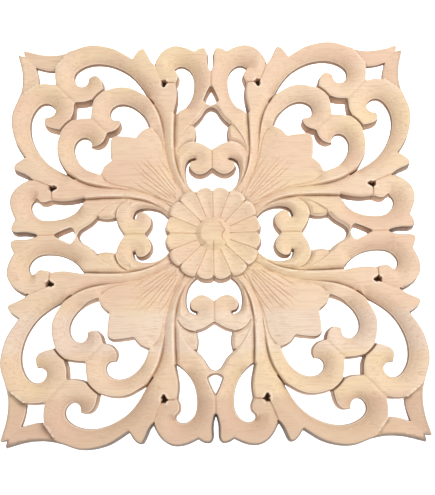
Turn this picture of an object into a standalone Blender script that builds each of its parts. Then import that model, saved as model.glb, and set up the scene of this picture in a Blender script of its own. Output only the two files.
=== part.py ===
"""Carved wood applique: one square, pierced panel of scrollwork round a sixteen-petal rosette.

The panel is upright, as on a wall: +X right, +Z up, the carved face towards -Y, the flat back at y = 0
and the origin at the middle of the back. The design repeats eight times, so one eighth is drawn, in
millimetres with x to the right and y up, between the upright axis and the diagonal, and mirrored.
"""

import math

import bpy
import numpy as np
from mathutils.geometry import delaunay_2d_cdt

MM = 0.001
NAME = "carved_applique"

# Driving dimensions, in millimetres
DRAWN_WIDTH = 300.0
OVERALL_WIDTH = 300.0
SCROLL_HEIGHT = 10.0
ROSETTE_HEIGHT = 12.0
ROSETTE_RADIUS = 33.0
PETALS = 16
PETAL_SWELL = 2.7
PETAL_CUP = 1.0
PETAL_ROUNDING = 3.0
PETAL_DROP = 2.0
MOAT_DEPTH = 2.8
MOAT_WIDTH = 14.0
EYE_HEIGHT = 11.6
EYE_RADIUS = 8.6
EYE_FOOT_RADIUS = 12.3
EYE_FOOT_HEIGHT = 9.1
STRUT_HEIGHT = 7.7
STRUT_FALL_ALONG = 0.02
STRUT_FALL_ACROSS = 0.24
STRUT_BELOW_SCROLL = 1.0
PIT_HEIGHT = 3.0
PIT_FLOOR_SHARE = 0.86
PIT_FLOOR_MARGIN = 1.02
STEP_WIDTH = 0.35

# The pitch at which curves are worked out for drawing and for measuring from, how far the mesh may stray
# from them, how close counts as on a line, how far off a line's crests are kept as edges, the pitch and
# clearance of the points between the lines, how close two points must be to be one, and how far a
# parallel may come closer to its line than its distance
CURVE_PITCH = 0.25
MEASURING_PITCH = 1.0
CURVE_TOLERANCE = 0.23
ON_LINE = 0.12
CREST_REACH = 3.5
FILL_PITCH = 9.5
FILL_CLEARANCE = 3.2
SAME_POINT = 0.05
FOLD_SLACK = 0.02
ON_MIRROR = 1e-4
FLAT_TRIANGLE = 1e-7
NO_LENGTH = 1e-9

# How close the triangulation merges points on the carved face and on the back, the steps along the
# rosette's rim, its seams and its rings, and how far a seam stops short of the rim
FACE_MERGE = 1e-4
BACK_MERGE = 1e-6
RIM_STEPS = 120
SEAM_STEPS = 20
RING_STEPS = 60
SHORT_OF_RIM = 0.01

# In metres, because the modifiers take them so
MIRROR_MERGE = 0.00005

SHARP_ANGLE = math.radians(35.0)
WOOD_COLOUR = (0.76, 0.56, 0.4)
WOOD_ROUGHNESS = 0.6

# Cuts beside a line: pairs of the distance from it and the depth below the scroll height
NONE = ((0.0, 0.0), (1.0, 0.0))
EDGE_CHAMFER = ((0.0, 1.0), (1.1, 0.0))

# The outline of one eighth, clockwise from the rosette round to the diagonal. Each run is a smooth
# curve through its points, and two runs meet at a corner
SCROLL_1_ROOT = ((12.3, 32.7), (16.3, 36.6), (19.2, 44.0), (19.3, 51.0), (17.2, 55.8), (13.2, 57.4))
SCROLL_1_CURL = (
    (13.0, 56.7), (16.3, 55.3), (17.8, 51.8), (15.7, 46.4), (9.2, 43.5), (3.0, 45.6), (0.0, 48.0),
)
SCROLL_1_TOP = ((0.0, 65.0), (3.0, 66.9), (7.0, 69.2), (12.2, 70.8))
BUD_EDGE = ((12.2, 70.8), (11.3, 75.0), (11.4, 80.0), (12.4, 84.0))
SIDE_SCROLL_FOOT = ((12.4, 84.0), (8.5, 87.9), (5.2, 92.9), (2.8, 96.0), (0.0, 97.2))
BRIDGE_TOP = ((0.0, 100.4), (2.4, 101.0), (4.7, 102.6))
SIDE_SCROLL_BACK = ((4.7, 102.6), (3.3, 106.2), (1.5, 110.2), (0.0, 113.0))
SIDE_EAR_BACK = ((0.0, 128.5), (0.7, 131.0), (1.5, 135.6), (1.4, 140.4), (1.8, 143.6), (2.9, 145.6))
SIDE_EAR_TOP = ((2.9, 145.6), (4.1, 146.4), (6.2, 146.6), (9.2, 145.9), (12.3, 144.0))
SIDE_SCROLL_TOP = (
    (12.3, 144.0), (17.0, 146.3), (22.0, 148.0), (28.0, 148.4), (33.6, 146.5), (38.6, 142.2), (43.2, 134.3),
)
STEM_EAR_BACK = ((43.2, 134.3), (45.5, 138.0), (47.3, 142.3), (49.0, 145.6))
STEM_EAR_TOP = ((49.0, 145.6), (50.6, 146.5), (52.8, 146.3), (55.8, 144.4), (58.0, 141.4), (59.7, 138.9))
BIG_SCROLL_TOP = (
    (59.7, 138.9), (64.0, 141.7), (70.0, 145.4), (77.0, 148.1), (84.0, 149.6), (90.0, 150.0),
    (97.0, 148.9), (105.0, 146.0), (109.5, 144.8),
)
STRUT_TOP = ((109.5, 144.8), (116.0, 143.7), (123.0, 143.6), (131.0, 144.6), (138.0, 146.4), (143.5, 148.0))
STRUT_TIP = ((143.5, 148.0), (143.6, 146.0), (143.0, 143.0))
STRUT_INSIDE = ((133.2, 133.2), (126.0, 131.2), (118.5, 130.4))
BIG_SCROLL_SIDE = ((118.5, 130.4), (119.0, 124.6), (118.3, 118.3))
BIG_SCROLL_FOOT = ((101.3, 101.3), (97.0, 101.4), (93.0, 102.0), (89.4, 103.4))
INNER_SCROLL_SIDE = ((89.4, 103.4), (90.6, 97.0), (91.0, 91.0))
INNER_SCROLL_CURL = ((76.8, 76.8), (72.0, 78.3), (68.6, 81.4), (67.4, 85.4), (69.0, 90.1))
INNER_SCROLL_INSIDE = (
    (69.0, 90.1), (72.9, 90.4), (75.7, 93.6), (74.8, 98.4), (70.0, 101.7), (63.0, 101.5), (56.0, 97.6),
    (50.4, 91.0), (46.9, 82.5),
)
PALMETTE_LOBE = ((46.9, 82.5), (52.0, 80.2), (55.0, 77.3), (56.7, 74.9))
PALMETTE_TIP = ((56.7, 74.9), (61.0, 75.6), (67.0, 76.2), (72.4, 75.9), (74.6, 74.6))

OUTLINE = (
    (SCROLL_1_ROOT, SCROLL_1_CURL),
    (SCROLL_1_TOP, BUD_EDGE, SIDE_SCROLL_FOOT),
    (BRIDGE_TOP, SIDE_SCROLL_BACK),
    (
        SIDE_EAR_BACK, SIDE_EAR_TOP, SIDE_SCROLL_TOP, STEM_EAR_BACK, STEM_EAR_TOP, BIG_SCROLL_TOP, STRUT_TOP,
        STRUT_TIP,
    ),
    (STRUT_INSIDE, BIG_SCROLL_SIDE),
    (BIG_SCROLL_FOOT, INNER_SCROLL_SIDE),
    (INNER_SCROLL_CURL, INNER_SCROLL_INSIDE, PALMETTE_LOBE, PALMETTE_TIP),
)

# The two holes that lie inside the eighth, anticlockwise from their lower tips
DROP_RIGHT = ((27.0, 93.3), (25.2, 102.0), (24.7, 109.5), (25.6, 116.4))
DROP_LOBE = ((25.6, 116.4), (23.9, 120.4), (24.2, 125.2), (26.4, 127.7))
DROP_LEFT = (
    (26.4, 127.7), (27.1, 129.8), (24.5, 132.3), (19.0, 131.6), (14.6, 127.0), (13.1, 117.0), (15.2, 106.8),
    (20.5, 98.6), (27.0, 93.3),
)
CRESCENT_FOOT = ((48.0, 107.8), (53.0, 110.9), (60.0, 114.3), (70.0, 115.2), (79.8, 112.8))
CRESCENT_CURL = ((79.8, 112.8), (80.6, 117.2), (82.2, 121.7), (86.2, 125.3), (93.4, 124.8))
CRESCENT_TOP = (
    (93.4, 124.8), (94.2, 120.5), (97.6, 118.0), (102.4, 120.6), (103.4, 126.4), (98.0, 132.3), (89.0, 135.3),
    (79.0, 134.7), (69.0, 131.0), (60.0, 124.8), (53.0, 116.4), (48.0, 107.8),
)
HOLES = ((DROP_RIGHT, DROP_LOBE, DROP_LEFT), (CRESCENT_FOOT, CRESCENT_CURL, CRESCENT_TOP))

# Lines along which the strands meet
STEM_LEFT = ((14.0, 30.0), (21.8, 41.0), (25.8, 51.5), (27.4, 62.0), (27.7, 75.0), (27.0, 93.3))
STEM_RIGHT = (
    (19.0, 27.2), (28.0, 42.0), (32.6, 54.0), (34.6, 66.0), (36.0, 80.0), (39.6, 94.0), (48.0, 107.8),
)
STEM_SLOT = ((42.6, 100.0), (45.0, 103.8), (48.0, 107.8))
BUD_TOP = ((12.4, 84.0), (15.6, 82.3), (18.3, 79.6), (20.7, 76.1), (23.0, 71.8), (25.2, 66.0), (26.6, 60.0))
SCROLL_1_OUTSIDE = ((12.2, 70.8), (17.5, 69.8), (22.6, 66.8), (25.6, 62.2), (26.6, 58.6))
SCROLL_1_EYE = ((12.2, 57.0), (13.2, 57.0))
SIDE_SCROLL_CONTACT = ((43.2, 134.3), (40.6, 127.0), (37.6, 120.2))
LOBE_FOOT = ((25.6, 116.4), (29.2, 116.9), (31.9, 117.0))
SCROLL_CONTACT = ((79.8, 112.8), (85.4, 108.3), (89.4, 103.4))
PALMETTE_SIDE = (
    (46.9, 82.5), (42.2, 79.2), (38.4, 73.6), (35.6, 62.0), (32.0, 50.0), (26.6, 37.5), (22.0, 28.0),
)
BIG_SCROLL_MEETING = ((118.3, 118.3), (101.3, 101.3))
INNER_SCROLL_MEETING = ((91.0, 91.0), (76.8, 76.8))
STRUT_EDGE = ((106.8, 146.3), (110.2, 141.0), (113.6, 136.8), (116.4, 133.0), (118.5, 130.4))
SIDE_SCROLL_MEETING = ((0.0, 128.5), (0.0, 113.0))
PIT = ((31.9, 117.0), (37.6, 120.2), (36.0, 112.0))

# The carving: each line, the cuts to its left and right, and whether they run on round its ends
CARVING = (
    (SCROLL_1_ROOT, NONE, ((0.0, 4.8), (7.0, 0.0)), True),
    (SCROLL_1_EYE, ((0.0, 4.5), (1.2, 2.6), (8.0, 0.0)), ((0.0, 4.5), (1.2, 2.6), (8.0, 0.0)), True),
    (BUD_EDGE, NONE, ((0.0, 4.0), (6.5, 0.0)), False),
    (SIDE_SCROLL_FOOT, NONE, ((0.0, 3.8), (3.0, 0.0)), True),
    (DROP_RIGHT, NONE, ((0.0, 3.6), (2.2, 0.0)), True),
    (DROP_LEFT, NONE, ((0.0, 6.8), (2.3, 4.7), (10.5, 0.0)), True),
    (CRESCENT_TOP, NONE, ((0.0, 6.4), (9.5, 0.0)), True),
    (INNER_SCROLL_INSIDE, NONE, ((0.0, 6.4), (9.0, 0.0)), True),
    (STEM_LEFT, ((0.0, 3.0), (3.0, 0.9), (9.0, 0.0)), ((0.0, 3.3), (1.8, 0.0)), False),
    (STEM_RIGHT, ((0.0, 3.4), (6.0, 0.0)), ((0.0, 3.4), (1.8, 0.0)), False),
    (STEM_SLOT, ((0.0, 7.0), (1.6, 0.0)), ((0.0, 7.0), (1.4, 0.0)), False),
    (BUD_TOP, ((0.0, 1.8), (1.6, 0.0)), ((0.0, 1.8), (8.5, 0.0)), False),
    (SCROLL_1_OUTSIDE, ((0.0, 3.2), (6.0, 0.0)), ((0.0, 3.2), (1.6, 0.0)), False),
    (SIDE_SCROLL_CONTACT, ((0.0, 1.3), (1.0, 0.0)), ((0.0, 1.3), (6.0, 0.0)), False),
    (LOBE_FOOT, ((0.0, 1.3), (0.9, 0.0)), ((0.0, 1.3), (0.9, 0.0)), False),
    (SCROLL_CONTACT, ((0.0, 4.2), (1.6, 0.0)), ((0.0, 4.2), (1.6, 0.0)), True),
    (PALMETTE_SIDE, ((0.0, 2.9), (0.8, 2.0), (17.0, 0.0)), ((0.0, 2.9), (9.0, 0.0)), False),
    (BIG_SCROLL_MEETING, ((0.0, 0.8), (1.6, 0.0)), ((0.0, 0.8), (1.6, 0.0)), True),
    (INNER_SCROLL_MEETING, ((0.0, 0.8), (1.6, 0.0)), ((0.0, 0.8), (1.6, 0.0)), True),
    (SIDE_SCROLL_MEETING, ((0.0, 0.9), (0.9, 0.0)), ((0.0, 0.9), (0.9, 0.0)), False),
    (STRUT_EDGE, NONE, EDGE_CHAMFER, True),
)


def smooth(points, pitch=CURVE_PITCH):
    """A curve through the points, bending evenly: a natural cubic spline over the chord length."""
    points = np.array(points, float)
    gaps = np.linalg.norm(np.diff(points, axis=0), axis=1)
    knots = np.concatenate([[0.0], np.cumsum(gaps)])
    rises = np.diff(points, axis=0) / gaps[:, None]
    system = np.eye(len(points))
    wanted = np.zeros_like(points)
    for i in range(1, len(points) - 1):
        system[i, i - 1 : i + 2] = gaps[i - 1], 2.0 * (gaps[i - 1] + gaps[i]), gaps[i]
        wanted[i] = 6.0 * (rises[i] - rises[i - 1])
    bends = np.linalg.solve(system, wanted)
    places = np.linspace(0.0, knots[-1], max(2, round(knots[-1] / pitch) + 1))
    i = np.clip(np.searchsorted(knots, places, side="right") - 1, 0, len(gaps) - 1)
    gap = gaps[i][:, None]
    after = (places - knots[i])[:, None] / gap
    before = 1.0 - after
    bending = (before**3 - before) * bends[i] + (after**3 - after) * bends[i + 1]
    return before * points[i] + after * points[i + 1] + bending * gap**2 / 6.0


def thinned(line, tolerance=CURVE_TOLERANCE):
    """The line with only the points that hold its shape within the tolerance."""
    chord = line[-1] - line[0]
    offset = line - line[0]
    length = max(np.linalg.norm(chord), NO_LENGTH)
    away = np.abs(chord[0] * offset[:, 1] - chord[1] * offset[:, 0]) / length
    farthest = int(np.argmax(away))
    if away[farthest] < tolerance:
        return line[[0, -1]]
    return np.vstack([thinned(line[: farthest + 1], tolerance)[:-1], thinned(line[farthest:], tolerance)])


def beside(line, points):
    """Each point's distance from the line, whether it lies to its left, and whether past its ends."""
    start, end = line[:-1], line[1:]
    along = end - start
    offset = points[:, None] - start[None]
    share = (offset * along).sum(-1) / np.maximum((along**2).sum(-1), NO_LENGTH)
    distance = np.linalg.norm(offset - np.clip(share, 0.0, 1.0)[..., None] * along, axis=-1)
    nearest = distance.argmin(axis=1)
    rows = np.arange(len(points))
    across = along[nearest, 0] * offset[rows, nearest, 1] - along[nearest, 1] * offset[rows, nearest, 0]
    share = share[rows, nearest]
    past = ((nearest == 0) & (share < 0.0)) | ((nearest == len(along) - 1) & (share > 1.0))
    return distance[rows, nearest], across > 0.0, past


def inside(loop, points):
    """Whether each point is inside the closed line."""
    x, y = points[:, :1], points[:, 1:]
    x0, y0 = loop.T
    x1, y1 = np.roll(loop, -1, axis=0).T
    spans = (y0 <= y) != (y1 <= y)
    rise = np.where(y1 == y0, 1.0, y1 - y0)
    return (spans & (x < x0 + (y - y0) / rise * (x1 - x0))).sum(axis=1) % 2 == 1


def rim_radius(angle):
    """The rosette's radius at an angle from the upright axis: round-ended petals with notches between."""
    return ROSETTE_RADIUS + PETAL_SWELL * np.sqrt(np.abs(np.sin(angle * PETALS / 2)))


def rim_line(start_angle, end_angle, outward=0.0):
    angle = np.linspace(start_angle, end_angle, RIM_STEPS)
    return np.stack([np.sin(angle), np.cos(angle)], axis=1) * (rim_radius(angle) + outward)[:, None]


def rosette_height(points):
    radius = np.hypot(points[:, 0], points[:, 1])
    angle = np.arctan2(points[:, 0], points[:, 1])
    rim = rim_radius(angle)
    rise = np.clip((radius - EYE_FOOT_RADIUS) / (rim - EYE_FOOT_RADIUS), 0.0, 1.0)
    cup = PETAL_CUP * np.abs(np.sin(angle * PETALS / 2)) * np.sin(math.pi * rise)
    rounding = np.clip((radius - rim + PETAL_ROUNDING) / PETAL_ROUNDING, 0.0, 1.0)
    petal = EYE_FOOT_HEIGHT + (ROSETTE_HEIGHT - EYE_FOOT_HEIGHT) * rise - cup - PETAL_DROP * rounding**2
    button_heights = (EYE_HEIGHT, ROSETTE_HEIGHT, EYE_FOOT_HEIGHT)
    button = np.interp(radius, (0.0, EYE_RADIUS, EYE_FOOT_RADIUS), button_heights)
    return np.where(radius < EYE_FOOT_RADIUS, button, petal)


def strut_height(points):
    along = points[:, 0] - STRUT_EDGE[0][0]
    across = STRUT_EDGE[0][1] - points[:, 1]
    height = STRUT_HEIGHT - STRUT_FALL_ALONG * along - STRUT_FALL_ACROSS * across
    return np.minimum(height, SCROLL_HEIGHT - STRUT_BELOW_SCROLL)


def on_strut(points):
    """Whether each point is on the low horn beyond the big scroll, clear of the step down to it."""
    distance, left, _ = beside(smooth(STRUT_EDGE), points)
    beyond = (points[:, 0] > STRUT_EDGE[0][0]) & (points[:, 1] > STRUT_EDGE[-1][1] - SAME_POINT)
    return left & beyond & (distance > STEP_WIDTH / 2)


def carved_height(points):
    """The height of the carved face over the flat back at each point of the eighth."""
    radius = np.hypot(points[:, 0], points[:, 1])
    rim = rim_radius(np.arctan2(points[:, 0], points[:, 1]))
    depth = np.interp(radius - rim, (0.0, MOAT_WIDTH), (MOAT_DEPTH, 0.0))
    for chain in (*OUTLINE, *HOLES):
        for curve in chain:
            distance = beside(smooth(curve, MEASURING_PITCH), points)[0]
            depth = np.maximum(depth, np.interp(distance, *zip(*EDGE_CHAMFER)))
    for curve, left_cut, right_cut, runs_on in CARVING:
        distance, left, past = beside(smooth(curve, MEASURING_PITCH), points)
        cut = np.where(left, np.interp(distance, *zip(*left_cut)), np.interp(distance, *zip(*right_cut)))
        deepest = max(left_cut[0][1], right_cut[0][1])
        cut = np.where(distance < ON_LINE, deepest, cut)
        depth = np.maximum(depth, cut if runs_on else np.where(past, 0.0, cut))
    height = SCROLL_HEIGHT - depth
    height = np.where(on_strut(points), strut_height(points), height)
    in_pit = inside(loop_toward_middle(PIT, PIT_FLOOR_SHARE * PIT_FLOOR_MARGIN), points)
    height = np.where(in_pit, PIT_HEIGHT, height)
    return np.where(radius < rim + STEP_WIDTH / 2, rosette_height(points), height)


def loop_toward_middle(loop, share):
    loop = np.array(loop)
    return loop.mean(axis=0) + (loop - loop.mean(axis=0)) * share


def parallel(line, distance):
    """The line moved to its left by the distance, without the stretches that it would fold over."""
    ways = np.gradient(line, axis=0)
    ways /= np.linalg.norm(ways, axis=1)[:, None]
    moved = line + distance * np.stack([-ways[:, 1], ways[:, 0]], axis=1)
    clear = beside(line, moved)[0] > abs(distance) - FOLD_SLACK
    return moved[clear]


def joined(runs):
    """Runs laid end to end, with no point twice."""
    line = np.vstack(runs)
    gaps = np.linalg.norm(np.diff(line, axis=0), axis=1)
    return line[np.concatenate([[True], gaps > SAME_POINT])]


def drawn_lines():
    """The outline of one eighth, its holes, and the lines that its mesh keeps between them."""
    rim_end = math.atan2(*SCROLL_1_ROOT[0])
    edge = [np.zeros((1, 2)), thinned(rim_line(0.0, rim_end))]
    for chain in OUTLINE:
        edge += [thinned(smooth(curve)) for curve in chain]
    outline = joined(edge)
    holes = [joined([thinned(smooth(curve)) for curve in chain])[:-1] for chain in HOLES]

    kept = [rim_line(rim_end, math.pi / 4), rim_line(rim_end, math.pi / 4, STEP_WIDTH)]
    kept += [rim_line(0.0, math.pi / 4, -PETAL_ROUNDING)]
    for notch in range(PETALS // 4 + 1):
        half = math.pi / PETALS * notch
        way = np.array([[math.sin(half), math.cos(half)]])
        reach = np.linspace(EYE_FOOT_RADIUS, rim_radius(half) - SHORT_OF_RIM, SEAM_STEPS)
        kept.append(way * reach[:, None])
    for radius in (EYE_RADIUS, EYE_FOOT_RADIUS):
        kept.append(arc_line(radius))
    kept += [smooth(STRUT_EDGE), parallel(smooth(STRUT_EDGE), STEP_WIDTH)]
    for share in (1.0, PIT_FLOOR_SHARE):
        corners = loop_toward_middle(PIT, share)
        kept.append(np.vstack([corners, corners[:1]]))
    for curve, left_cut, right_cut, _ in CARVING:
        line = smooth(curve)
        kept.append(line)
        for side, cut in ((1, left_cut), (-1, right_cut)):
            if cut != NONE:
                kept += [parallel(line, side * reach) for reach, _ in cut[1:] if reach < CREST_REACH]
    return outline, holes, [thinned(line) for line in kept if len(line) > 1]


def arc_line(radius):
    angle = np.linspace(0.0, math.pi / 4, RING_STEPS)
    return radius * np.stack([np.sin(angle), np.cos(angle)], axis=1)


def fill_points(outline, holes, kept):
    """Points on a staggered grid, inside the outline and clear of every line."""
    half_width = DRAWN_WIDTH / 2
    across = np.arange(0.0, half_width, FILL_PITCH)
    up = np.arange(0.0, half_width, FILL_PITCH * math.sqrt(0.75))
    x, y = np.meshgrid(across, up)
    x[1::2] += 0.5 * FILL_PITCH
    points = np.stack([x.ravel(), y.ravel()], axis=1)
    points = points[inside(outline, points)]
    for hole in holes:
        points = points[~inside(hole, points)]
        points = points[beside(np.vstack([hole, hole[:1]]), points)[0] > FILL_CLEARANCE]
    for line in (np.vstack([outline, outline[:1]]), *kept):
        points = points[beside(line, points)[0] > FILL_CLEARANCE]
    return points


def triangulated(outline, holes, lines=(), loose=()):
    """The points and triangles of the outline less its holes, with every line kept as edges."""
    points = []
    edges = []
    loops = [(line, True) for line in (outline, *holes)]
    for line, closed in (*loops, *((line, False) for line in lines)):
        first = len(points)
        points += [tuple(p) for p in line]
        edges += [(first + i, first + i + 1) for i in range(len(line) - 1)]
        if closed:
            edges.append((first + len(line) - 1, first))
    points += [tuple(p) for p in loose]
    found, _, faces, _, _, _ = delaunay_2d_cdt(points, edges, [], 0, FACE_MERGE)
    found = np.array([tuple(p) for p in found])
    faces = np.array(faces)
    middles = found[faces].mean(axis=1)
    wanted = inside(outline, middles)
    for hole in holes:
        wanted &= ~inside(hole, middles)
    a, b, c = (found[faces[:, i]] for i in range(3))
    turn = (b[:, 0] - a[:, 0]) * (c[:, 1] - a[:, 1]) - (b[:, 1] - a[:, 1]) * (c[:, 0] - a[:, 0])
    wanted &= np.abs(turn) > FLAT_TRIANGLE
    faces[turn < 0.0] = faces[turn < 0.0][:, ::-1]
    return found, faces[wanted]


def open_edges(faces):
    """The edges that only one triangle has, in that triangle's direction."""
    edges = {}
    for face in faces.tolist():
        for a, b in zip(face, (*face[1:], face[0])):
            if (b, a) in edges:
                del edges[(b, a)]
            else:
                edges[(a, b)] = True
    return list(edges)


def eighth_mesh():
    """One eighth as a mesh: the carved face, the walls and the flat back, open at both mirror planes."""
    outline, holes, kept = drawn_lines()
    found, faces = triangulated(outline, holes, kept, fill_points(outline, holes, kept))
    heights = carved_height(found)
    rim = open_edges(faces)

    names = sorted({i for edge in rim for i in edge})
    back_index = {name: len(found) + i for i, name in enumerate(names)}
    back_points = found[names]
    order = {name: i for i, name in enumerate(names)}
    back_found, _, back_faces, origins, _, _ = delaunay_2d_cdt(
        [tuple(p) for p in back_points], [(order[a], order[b]) for a, b in rim], [], 0, BACK_MERGE
    )
    source = [names[origin[0]] for origin in origins]
    middles = np.array([[tuple(back_found[i]) for i in face] for face in back_faces]).mean(axis=1)
    wanted = inside(outline, middles)
    for hole in holes:
        wanted &= ~inside(hole, middles)

    scale = MM * OVERALL_WIDTH / DRAWN_WIDTH
    points = [(x * scale, -height * MM, y * scale) for (x, y), height in zip(found, heights)]
    points += [(x * scale, 0.0, y * scale) for x, y in back_points]
    mesh_faces = [tuple(face) for face in faces.tolist()]
    for face in (back_faces[i] for i in np.flatnonzero(wanted)):
        a, b, c = (source[i] for i in face)
        pa, pb, pc = found[a], found[b], found[c]
        turn = (pb[0] - pa[0]) * (pc[1] - pa[1]) - (pb[1] - pa[1]) * (pc[0] - pa[0])
        loop = (a, c, b) if turn > 0.0 else (a, b, c)
        mesh_faces.append(tuple(back_index[i] for i in loop))
    for a, b in rim:
        on_axis = max(found[a][0], found[b][0]) < ON_MIRROR
        on_diagonal = max(abs(found[a][0] - found[a][1]), abs(found[b][0] - found[b][1])) < ON_MIRROR
        if not (on_axis or on_diagonal):
            mesh_faces.append((b, a, back_index[a], back_index[b]))
    mesh = bpy.data.meshes.new(NAME)
    mesh.from_pydata(points, [], mesh_faces)
    mesh.validate()
    return mesh


for old in list(bpy.data.objects):
    bpy.data.objects.remove(old)

wood = bpy.data.materials.new("pale_rubberwood")
wood.use_nodes = True
shader = wood.node_tree.nodes["Principled BSDF"]
shader.inputs["Base Color"].default_value = (*WOOD_COLOUR, 1.0)
shader.inputs["Roughness"].default_value = WOOD_ROUGHNESS
shader.inputs["Metallic"].default_value = 0.0

# The diagonal that the eighth is mirrored across first, before the upright and the level axis
parts = bpy.data.collections.new(NAME)
guides = bpy.data.collections.new("guides")
for collection in (parts, guides):
    bpy.context.scene.collection.children.link(collection)

diagonal = bpy.data.objects.new("diagonal", None)
diagonal.rotation_euler = (0.0, math.pi / 4, 0.0)
guides.objects.link(diagonal)

panel = bpy.data.objects.new(NAME, eighth_mesh())
panel.data.materials.append(wood)
parts.objects.link(panel)

across_diagonal = panel.modifiers.new("across_diagonal", "MIRROR")
across_diagonal.mirror_object = diagonal
across_diagonal.merge_threshold = MIRROR_MERGE
across_axes = panel.modifiers.new("across_axes", "MIRROR")
across_axes.use_axis = (True, False, True)
across_axes.merge_threshold = MIRROR_MERGE
panel.data.shade_smooth()
panel.data.set_sharp_from_angle(angle=SHARP_ANGLE)
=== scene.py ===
"""Carved wood applique: a square pierced panel of scrollwork round a petalled rosette, in bare rubberwood."""

import math

import bpy
import numpy as np
from mathutils import Matrix, Vector, noise
from mathutils.geometry import delaunay_2d_cdt


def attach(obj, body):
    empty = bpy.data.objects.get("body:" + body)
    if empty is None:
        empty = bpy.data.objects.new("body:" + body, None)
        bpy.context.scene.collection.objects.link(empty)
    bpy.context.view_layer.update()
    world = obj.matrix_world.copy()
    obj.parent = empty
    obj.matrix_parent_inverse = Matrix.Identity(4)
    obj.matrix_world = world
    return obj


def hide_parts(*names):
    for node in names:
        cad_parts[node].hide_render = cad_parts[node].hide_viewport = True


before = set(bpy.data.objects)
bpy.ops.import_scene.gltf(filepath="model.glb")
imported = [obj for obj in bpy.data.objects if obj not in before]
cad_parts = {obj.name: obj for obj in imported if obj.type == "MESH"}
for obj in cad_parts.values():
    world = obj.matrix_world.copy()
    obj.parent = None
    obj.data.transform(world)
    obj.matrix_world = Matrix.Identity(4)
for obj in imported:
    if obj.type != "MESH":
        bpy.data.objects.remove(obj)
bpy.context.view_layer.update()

# The carved panel: one board of rubberwood, sawn through and carved on one face, flat at the back.
# Its pattern repeats eight times, so one eighth is drawn in millimetres, x to the right and y up, between
# the upright axis and the diagonal. The carving is a height over every point of that eighth.

REPEATS = 8
EIGHTH_TURN = 2 * math.pi / REPEATS
SCROLL_HEIGHT = 10.0
MOAT_DEPTH = 2.8
MOAT_WIDTH = 14.0
STRUT_HEIGHT = 7.7
STRUT_FALL_ALONG = 0.02
STRUT_FALL_ACROSS = 0.24
STRUT_BELOW_SCROLL = 1.0
STRUT_LINE_DROP = 0.8
STRUT_LINE_WIDTH = 1.3
PIT_HEIGHT = 3.0
STEP_WIDTH = 0.35
PIT_FLOOR_SHARE = 0.86
PIT_FLOOR_MARGIN = 1.02
VEIN_DEPTH = 0.75
VEIN_WIDTH = 0.65

# The outline of one eighth, clockwise from the rosette round to the diagonal. Each run is a smooth
# curve through its points, and two runs meet at a corner
SCROLL_1_ROOT = ((12.3, 32.7), (16.3, 36.6), (19.2, 44.0), (19.3, 51.0), (17.2, 55.8), (13.2, 57.4))
SCROLL_1_CURL = (
    (13.0, 56.7), (16.3, 55.3), (17.8, 51.8), (15.7, 46.4), (9.2, 43.5), (3.0, 45.6), (0.0, 48.0),
)
SCROLL_1_TOP = ((0.0, 65.0), (3.0, 66.9), (7.0, 69.2), (12.2, 70.8))
BUD_EDGE = ((12.2, 70.8), (11.3, 75.0), (11.4, 80.0), (12.4, 84.0))
SIDE_SCROLL_FOOT = ((12.4, 84.0), (8.5, 87.9), (5.2, 92.9), (2.8, 96.0), (0.0, 97.2))
BRIDGE_TOP = ((0.0, 100.4), (2.4, 101.0), (4.7, 102.6))
SIDE_SCROLL_BACK = ((4.7, 102.6), (3.3, 106.2), (1.5, 110.2), (0.0, 113.0))
SIDE_EAR_BACK = ((0.0, 128.5), (0.7, 131.0), (1.5, 135.6), (1.4, 140.4), (1.8, 143.6), (2.9, 145.6))
SIDE_EAR_TOP = ((2.9, 145.6), (4.1, 146.4), (6.2, 146.6), (9.2, 145.9), (12.3, 144.0))
SIDE_SCROLL_TOP = (
    (12.3, 144.0), (17.0, 146.3), (22.0, 148.0), (28.0, 148.4), (33.6, 146.5), (38.6, 142.2), (43.2, 134.3),
)
STEM_EAR_BACK = ((43.2, 134.3), (45.5, 138.0), (47.3, 142.3), (49.0, 145.6))
STEM_EAR_TOP = ((49.0, 145.6), (50.6, 146.5), (52.8, 146.3), (55.8, 144.4), (58.0, 141.4), (59.7, 138.9))
BIG_SCROLL_TOP = (
    (59.7, 138.9), (64.0, 141.7), (70.0, 145.4), (77.0, 148.1), (84.0, 149.6), (90.0, 150.0),
    (97.0, 148.9), (105.0, 146.0), (109.5, 144.8),
)
STRUT_TOP = ((109.5, 144.8), (116.0, 143.7), (123.0, 143.6), (131.0, 144.6), (138.0, 146.4), (143.5, 148.0))
STRUT_TIP = ((143.5, 148.0), (143.6, 146.0), (143.0, 143.0))
STRUT_INSIDE = ((133.2, 133.2), (126.0, 131.2), (118.5, 130.4))
BIG_SCROLL_SIDE = ((118.5, 130.4), (119.0, 124.6), (118.3, 118.3))
BIG_SCROLL_FOOT = ((101.3, 101.3), (97.0, 101.4), (93.0, 102.0), (89.4, 103.4))
INNER_SCROLL_SIDE = ((89.4, 103.4), (90.6, 97.0), (91.0, 91.0))
INNER_SCROLL_CURL = ((76.8, 76.8), (72.0, 78.3), (68.6, 81.4), (67.4, 85.4), (69.0, 90.1))
INNER_SCROLL_INSIDE = (
    (69.0, 90.1), (72.9, 90.4), (75.7, 93.6), (74.8, 98.4), (70.0, 101.7), (63.0, 101.5), (56.0, 97.6),
    (50.4, 91.0), (46.9, 82.5),
)
PALMETTE_LOBE = ((46.9, 82.5), (52.0, 80.2), (55.0, 77.3), (56.7, 74.9))
PALMETTE_TIP = ((56.7, 74.9), (61.0, 75.6), (67.0, 76.2), (72.4, 75.9), (74.6, 74.6))

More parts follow.
